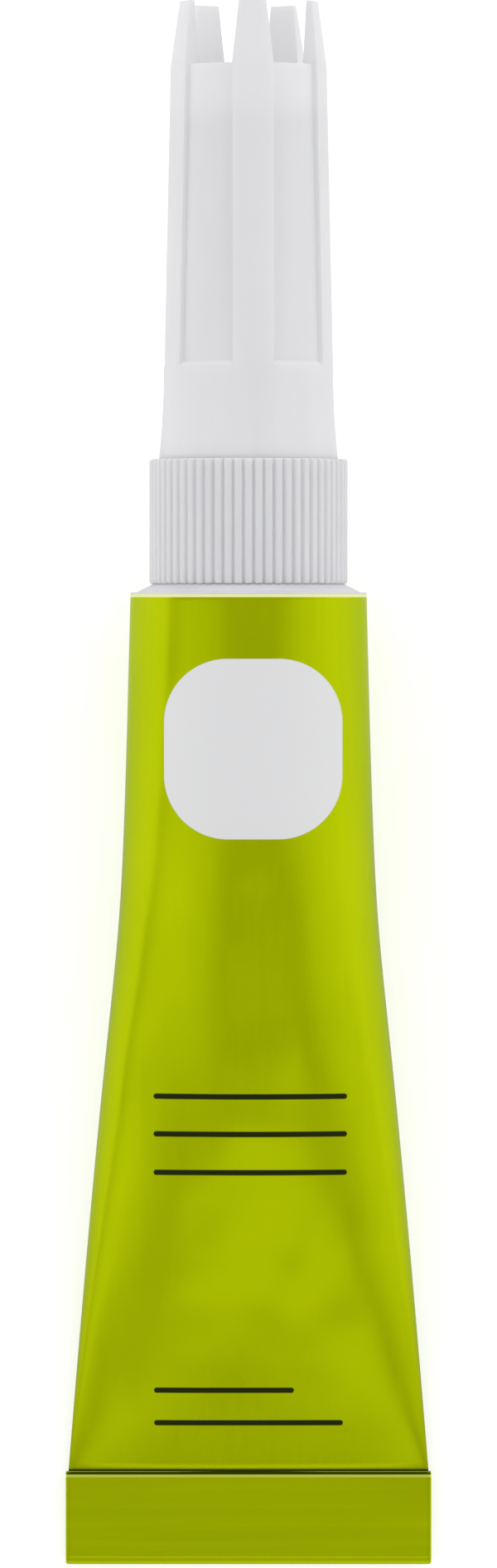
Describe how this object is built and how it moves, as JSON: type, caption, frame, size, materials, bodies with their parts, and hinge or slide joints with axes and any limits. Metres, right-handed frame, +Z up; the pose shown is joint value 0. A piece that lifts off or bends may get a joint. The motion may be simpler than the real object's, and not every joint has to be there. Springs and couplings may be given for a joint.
{
  "type": "super glue tube",
  "caption": "Soft aluminium glue tube with a crimped tail, a screw-on nozzle with a knurled collar, and a ribbed push-on cap with a pronged crown.",
  "frame": {"origin": "on the table under the middle of the tube, which lies on its back", "axes": "+Y runs along the table toward the cap, +Z is up out of the printed front, X is across the tail; the tube's own axis rises toward the cap by 6.78 degrees because it rests on the back of the tail and on the shoulder rim"},
  "size_m": [0.0208, 0.0892, 0.0147],
  "materials": {
    "lacquer": "satin lime green lacquer on thin aluminium",
    "fold_lacquer": "crimped lime green lacquer",
    "latex": "matt",
    "aluminium": "pale base coat over drawn aluminium",
    "foil": "bright foil",
    "glue": "clear thin liquid",
    "nozzle_plastic": "moulded white polyethylene, satin",
    "cap_plastic": "moulded white polyethylene, satin",
    "pin_steel": "drawn wire"
  },
  "bodies": {
    "tube": {"tube_sleeve": "lacquer", "tail_fold": "fold_lacquer", "tail_sealant": "latex", "tube_shoulder": "aluminium", "glue_fill": "glue"},
    "seal": {"neck_foil": "foil"},
    "nozzle": {"nozzle": "nozzle_plastic"},
    "pin": {"cap_pin": "pin_steel"},
    "cap": {"cap_shell": "cap_plastic"}
  },
  "joints": [
    {"name": "nozzle_turn", "type": "hinge", "parent": "tube", "child": "seal", "pos_m": [0, 0.01685, 0.00744], "axis": [0, 0.993, 0.1181], "range_deg": [0, 1801]},
    {"name": "nozzle_rise", "type": "slide", "parent": "seal", "child": "nozzle", "axis": [0, 0.993, 0.1181], "range_m": [0, 0.0065]},
    {"name": "cap_pull", "type": "slide", "parent": "nozzle", "child": "pin", "axis": [0, 0.993, 0.1181], "range_m": [0, 0.022]},
    {"name": "cap_twist", "type": "hinge", "parent": "pin", "child": "cap", "pos_m": [0, 0.03832, 0.01], "axis": [0, 0.993, 0.1181], "continuous": true}
  ],
  "couplings": [
    {"joint": "nozzle_turn", "follows": "nozzle_rise", "rad_per_m": 4833.2}
  ]
}
